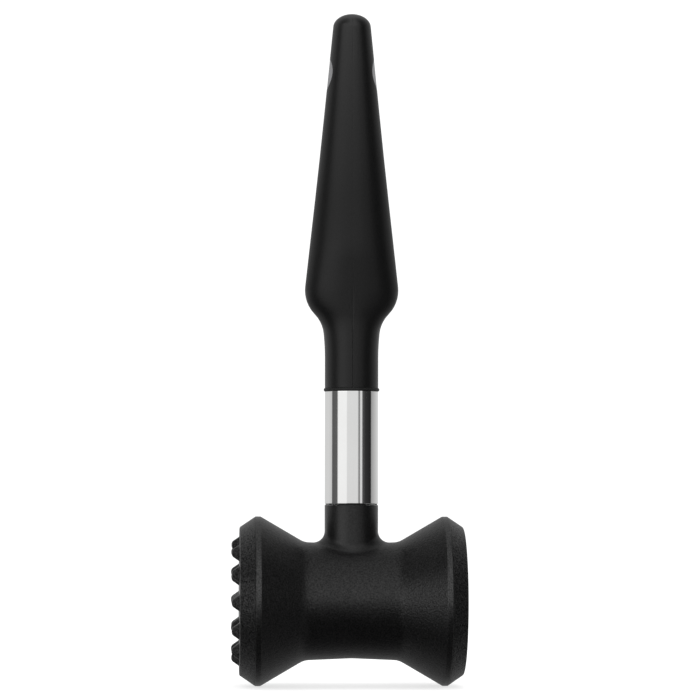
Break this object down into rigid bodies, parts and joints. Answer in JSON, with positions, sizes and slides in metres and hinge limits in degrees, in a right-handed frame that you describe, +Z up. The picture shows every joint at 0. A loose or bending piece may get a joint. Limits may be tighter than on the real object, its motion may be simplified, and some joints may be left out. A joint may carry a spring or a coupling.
{
  "type": "meat mallet",
  "caption": "Double-faced meat mallet: hourglass head with one toothed and one smooth face, steel collar and tapered grip.",
  "frame": {"origin": "on the surface that the upright mallet stands on, under the middle of its bounding box", "axes": "+Z up along the handle; the head lies along X with its teeth towards -X and its smooth face towards +X; the handle's axis is at x = 1.5 mm"},
  "size_m": [0.0878, 0.064, 0.2549],
  "materials": {
    "moulded_black": "fine moulded grain, matte black",
    "soft_black": "satin black, smooth, with a fine mould parting line",
    "seal_rubber": "dull black",
    "buffer_rubber": "dull dark grey",
    "natural_nylon": "natural off-white nylon",
    "polished_steel": "polished stainless tube",
    "zinc_steel": "zinc-plated turned steel",
    "slug_steel": "turned mild steel",
    "medallion_grey": "satin mid-grey inlay, plain"
  },
  "bodies": {
    "root": {"head_shell": "moulded_black", "toothed_cap": "moulded_black", "smooth_cap": "moulded_black", "weight_slug": "slug_steel", "toothed_buffer": "buffer_rubber", "smooth_buffer": "buffer_rubber", "toothed_cap_stud": "zinc_steel", "smooth_cap_stud": "zinc_steel", "shank": "zinc_steel", "shank_washer": "zinc_steel", "insert_nut": "zinc_steel", "neck_seal": "seal_rubber", "grip_seal": "seal_rubber", "collar_tube": "polished_steel", "lower_bush": "natural_nylon", "upper_bush": "natural_nylon", "handle_core": "natural_nylon", "grip_sleeve": "soft_black", "left_medallion": "medallion_grey", "right_medallion": "medallion_grey"}
  },
  "joints": []
}
